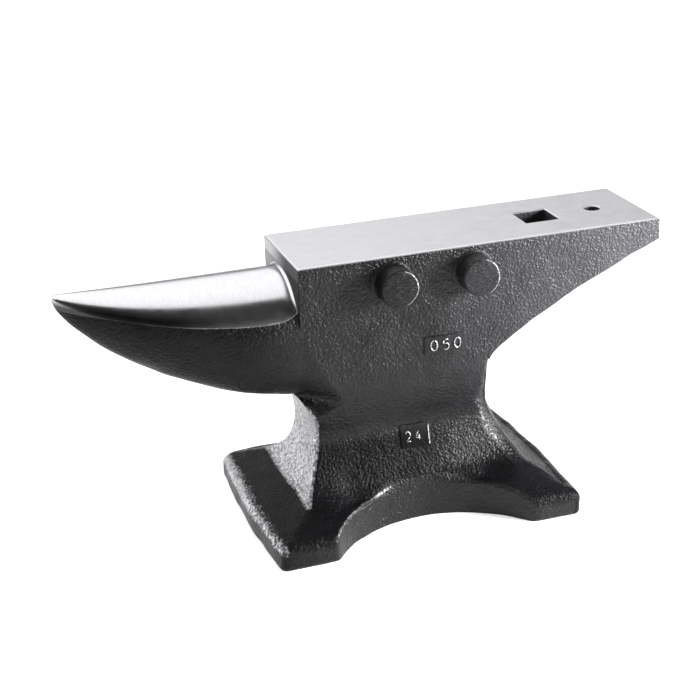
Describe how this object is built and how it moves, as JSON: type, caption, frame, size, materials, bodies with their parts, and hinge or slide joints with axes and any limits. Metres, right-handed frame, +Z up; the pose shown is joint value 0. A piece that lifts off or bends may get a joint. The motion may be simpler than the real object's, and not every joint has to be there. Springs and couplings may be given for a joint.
{
  "type": "anvil",
  "caption": "Single-horn blacksmith's anvil with a flat steel face, square and round tool holes, side turning cams, a necked waist and a footed base.",
  "frame": {"origin": "on the floor under the middle of the overall length and width", "axes": "+X from the horn toward the heel, +Y toward the side without the turning cams, +Z up out of the face"},
  "size_m": [0.521, 0.198, 0.2455],
  "materials": {
    "face_steel": "surface-ground steel with a fine grain",
    "horn_steel": "dressed satin steel on top, black paint underneath",
    "body_paint": "black semi-gloss paint over rough sand-cast steel",
    "cam_paint": "black paint with the edges rubbed bright",
    "mark_paint": "black paint with the raised digits rubbed bright"
  },
  "bodies": {
    "root": {"face_plate": "face_steel", "upper_body": "body_paint", "heel": "body_paint", "horn": "horn_steel", "base_block": "body_paint", "foot_horn_near": "body_paint", "foot_horn_far": "body_paint", "foot_heel_near": "body_paint", "foot_heel_far": "body_paint", "turning_cam_horn_side": "cam_paint", "turning_cam_heel_side": "cam_paint", "weight_mark": "mark_paint", "casting_mark": "mark_paint"}
  },
  "joints": []
}
